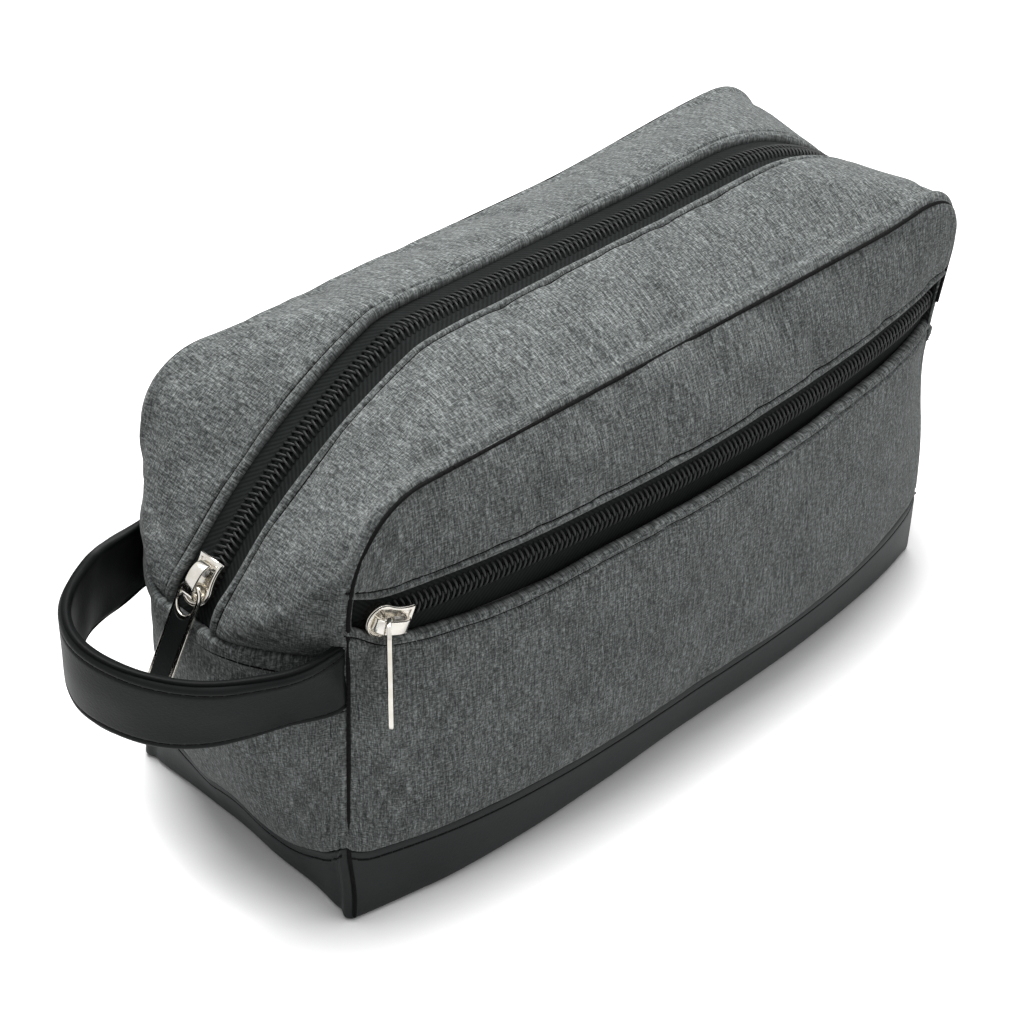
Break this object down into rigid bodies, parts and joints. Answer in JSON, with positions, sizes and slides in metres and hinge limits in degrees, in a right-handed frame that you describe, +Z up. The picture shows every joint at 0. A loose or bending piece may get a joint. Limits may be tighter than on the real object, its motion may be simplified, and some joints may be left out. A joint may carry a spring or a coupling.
{
  "type": "toiletry bag",
  "caption": "Soft box-shaped toiletry bag with a zip over the top, a zipped front pocket, a leather-look base trim and a carry loop at one end.",
  "frame": {"origin": "centre of the base underside, on the surface the bag stands on", "axes": "+X along the bag's length away from the carry loop, +Y to the rear, away from the pocket, +Z up"},
  "size_m": [0.2857, 0.106, 0.1355],
  "materials": {
    "heather_fabric": "matte heather weave",
    "trim_leather": "satin black, fine grain",
    "lining_fabric": "plain woven",
    "binding_tape": "ribbed woven tape",
    "zip_tape": "twill woven tape",
    "zip_teeth": "satin black",
    "nickel": "polished nickel",
    "spring_steel": "plain steel",
    "board": "matte stiffening board",
    "handle_backing": "very dark navy black",
    "handle_core": "foam"
  },
  "bodies": {
    "bag": {"front_upper_panel": "heather_fabric", "front_pocket_panel": "heather_fabric", "front_base_trim": "trim_leather", "rear_panel": "heather_fabric", "rear_base_trim": "trim_leather", "gusset_front": "heather_fabric", "gusset_rear": "heather_fabric", "left_end_panel": "heather_fabric", "right_end_panel": "heather_fabric", "left_end_trim": "trim_leather", "right_end_trim": "trim_leather", "base_panel": "trim_leather", "base_board": "board", "main_lining": "lining_fabric", "pocket_lining": "lining_fabric", "front_seam_binding": "binding_tape", "rear_seam_binding": "binding_tape", "main_tape_front": "zip_tape", "main_tape_rear": "zip_tape", "main_teeth_front": "zip_teeth", "main_teeth_rear": "zip_teeth", "pocket_tape_lower": "zip_tape", "pocket_tape_upper": "zip_tape", "pocket_teeth_lower": "zip_teeth", "pocket_teeth_upper": "zip_teeth", "handle_end_front": "trim_leather", "handle_end_rear": "trim_leather"},
    "main_slider": {"main_slider_body": "nickel", "main_slider_crown": "nickel", "main_lock_spring": "spring_steel"},
    "main_pull": {"main_pull_tab": "nickel"},
    "pocket_slider": {"pocket_slider_body": "nickel", "pocket_slider_crown": "nickel", "pocket_lock_spring": "spring_steel"},
    "pocket_pull": {"pocket_pull_tab": "nickel"},
    "handle": {"handle_lining": "handle_backing", "handle_core": "handle_core", "handle_outer": "trim_leather"}
  },
  "joints": [
    {"name": "main_slide", "type": "hinge", "parent": "bag", "child": "main_slider", "pos_m": [-0.0123, 0, 0.005], "axis": [0, 1, 0], "range_deg": [0, 27], "deforming": ["main_teeth_front", "main_teeth_rear"]},
    {"name": "main_pull_swing", "type": "hinge", "parent": "main_slider", "child": "main_pull", "pos_m": [-0.12804, 0, 0.08971], "axis": [0, 1, 0], "range_deg": [0, 40]},
    {"name": "pocket_slide", "type": "hinge", "parent": "bag", "child": "pocket_slider", "pos_m": [0, 0.4865, 0.09], "axis": [0, 0, 1], "range_deg": [0, 20.5], "deforming": ["pocket_teeth_lower", "pocket_teeth_upper"]},
    {"name": "pocket_pull_swing", "type": "hinge", "parent": "pocket_slider", "child": "pocket_pull", "pos_m": [-0.09998, -0.0462, 0.09], "axis": [-0.9828, 0.1845, 0], "range_deg": [0, 160]},
    {"name": "handle_swing", "type": "hinge", "parent": "bag", "child": "handle", "pos_m": [-0.118, 0, 0.072], "axis": [0, 1, 0], "range_deg": [-40, 40]}
  ]
}
